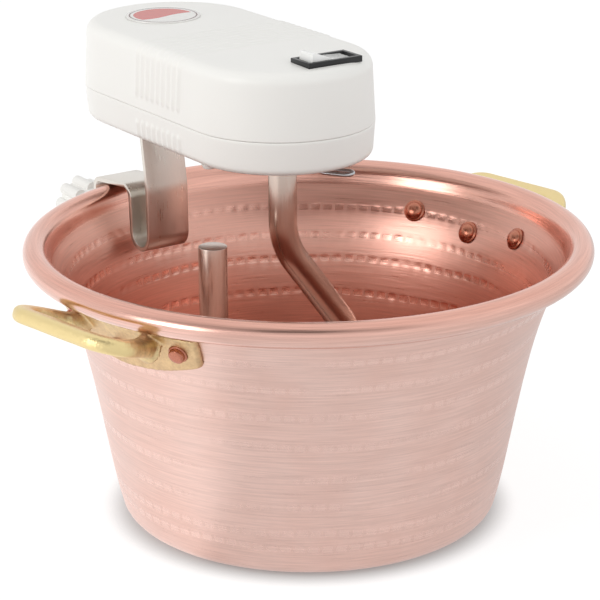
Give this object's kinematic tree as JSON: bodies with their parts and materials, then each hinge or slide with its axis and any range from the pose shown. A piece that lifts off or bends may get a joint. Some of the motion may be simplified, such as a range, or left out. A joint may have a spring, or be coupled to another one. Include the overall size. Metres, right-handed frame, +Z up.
{
  "type": "electric polenta pot",
  "caption": "Hammered copper pot with brass loop handles, and a white motor unit clamped on its rim that turns a bent steel stirrer.",
  "frame": {"origin": "centre of the flat underside of the pot", "axes": "+Z up along the pot's axis; +X along the motor housing, from the clamp on the rim towards the housing's free end; +Y to the left of that"},
  "size_m": [0.324, 0.3282, 0.2399],
  "materials": {
    "copper_wall": "hammered copper, brushed",
    "copper_rivet": "polished copper",
    "cast_brass": "sand cast, dull, bright where the hand rubs it",
    "steel_wire": "plain wire",
    "steel_bar": "drawn stainless bar, brushed",
    "steel_strip": "rolled strip, brushed, dull edges",
    "steel_screw": "zinc plated",
    "steel_plate": "pressed zinc plated sheet",
    "steel_core": "stacked sheets, oiled",
    "winding_wire": "enamelled wire",
    "bush_bronze": "sintered bronze",
    "white_plastic": "fine satin moulding",
    "rocker_plastic": "smooth moulding",
    "black_plastic": "satin moulding",
    "gear_plastic": "natural nylon",
    "badge_film": "printed disc, left bare",
    "pad_rubber": "moulded rubber"
  },
  "bodies": {
    "pot_and_unit": {"pot_body": "copper_wall", "rim_wire": "steel_wire", "handle_left": "cast_brass", "handle_right": "cast_brass", "rivets_left": "copper_rivet", "rivets_right": "copper_rivet", "upper_shell": "white_plastic", "lower_shell": "white_plastic", "shell_screws": "steel_screw", "badge": "badge_film", "switch_body": "black_plastic", "chassis_plate": "steel_plate", "gear_plate": "steel_plate", "plate_posts": "steel_screw", "chassis_screws": "steel_screw", "counter_shaft": "steel_screw", "spindle_bushes": "bush_bronze", "motor_stack": "steel_core", "motor_bobbin": "black_plastic", "motor_winding": "winding_wire", "motor_bridge": "steel_plate", "motor_bolts": "steel_screw", "clamp_bracket": "steel_strip", "bracket_screws": "steel_screw", "clamp_nut": "steel_screw"},
    "stirrer_and_spindle": {"stirrer": "steel_bar", "hitch_pin": "steel_wire", "drive_spindle": "steel_screw", "output_gear": "gear_plastic"},
    "counter_wheel": {"counter_gear": "gear_plastic"},
    "rotor": {"rotor_core": "steel_core", "rotor_shaft": "steel_screw"},
    "rocker": {"switch_rocker": "rocker_plastic"},
    "pad": {"clamp_pad": "pad_rubber"},
    "knob_and_screw": {"clamp_screw": "steel_screw", "clamp_knob": "white_plastic"}
  },
  "joints": [
    {"name": "stirrer_turn", "type": "hinge", "parent": "pot_and_unit", "child": "stirrer_and_spindle", "pos_m": [0, -0.015, 0.19], "axis": [0, 0, 1], "continuous": true},
    {"name": "counter_turn", "type": "hinge", "parent": "pot_and_unit", "child": "counter_wheel", "pos_m": [-0.036, -0.015, 0.2], "axis": [0, 0, 1], "continuous": true},
    {"name": "rotor_turn", "type": "hinge", "parent": "pot_and_unit", "child": "rotor", "pos_m": [-0.069, -0.015, 0.21], "axis": [0, 0, 1], "continuous": true},
    {"name": "rocker_tip", "type": "hinge", "parent": "pot_and_unit", "child": "rocker", "pos_m": [0.0266, -0.0076, 0.2336], "axis": [1, 0, 0], "range_deg": [0, 24]},
    {"name": "clamp_travel", "type": "slide", "parent": "pot_and_unit", "child": "pad", "axis": [-1, 0, 0], "range_m": [0, 0.008]},
    {"name": "clamp_turn", "type": "hinge", "parent": "pad", "child": "knob_and_screw", "pos_m": [-0.17, -0.027, 0.11881], "axis": [-1, 0, 0], "range_deg": [0, 2881]}
  ],
  "couplings": [
    {"joint": "counter_turn", "follows": "stirrer_turn", "ratio": -5},
    {"joint": "rotor_turn", "follows": "stirrer_turn", "ratio": 28},
    {"joint": "clamp_turn", "follows": "clamp_travel", "rad_per_m": 6283.2}
  ]
}
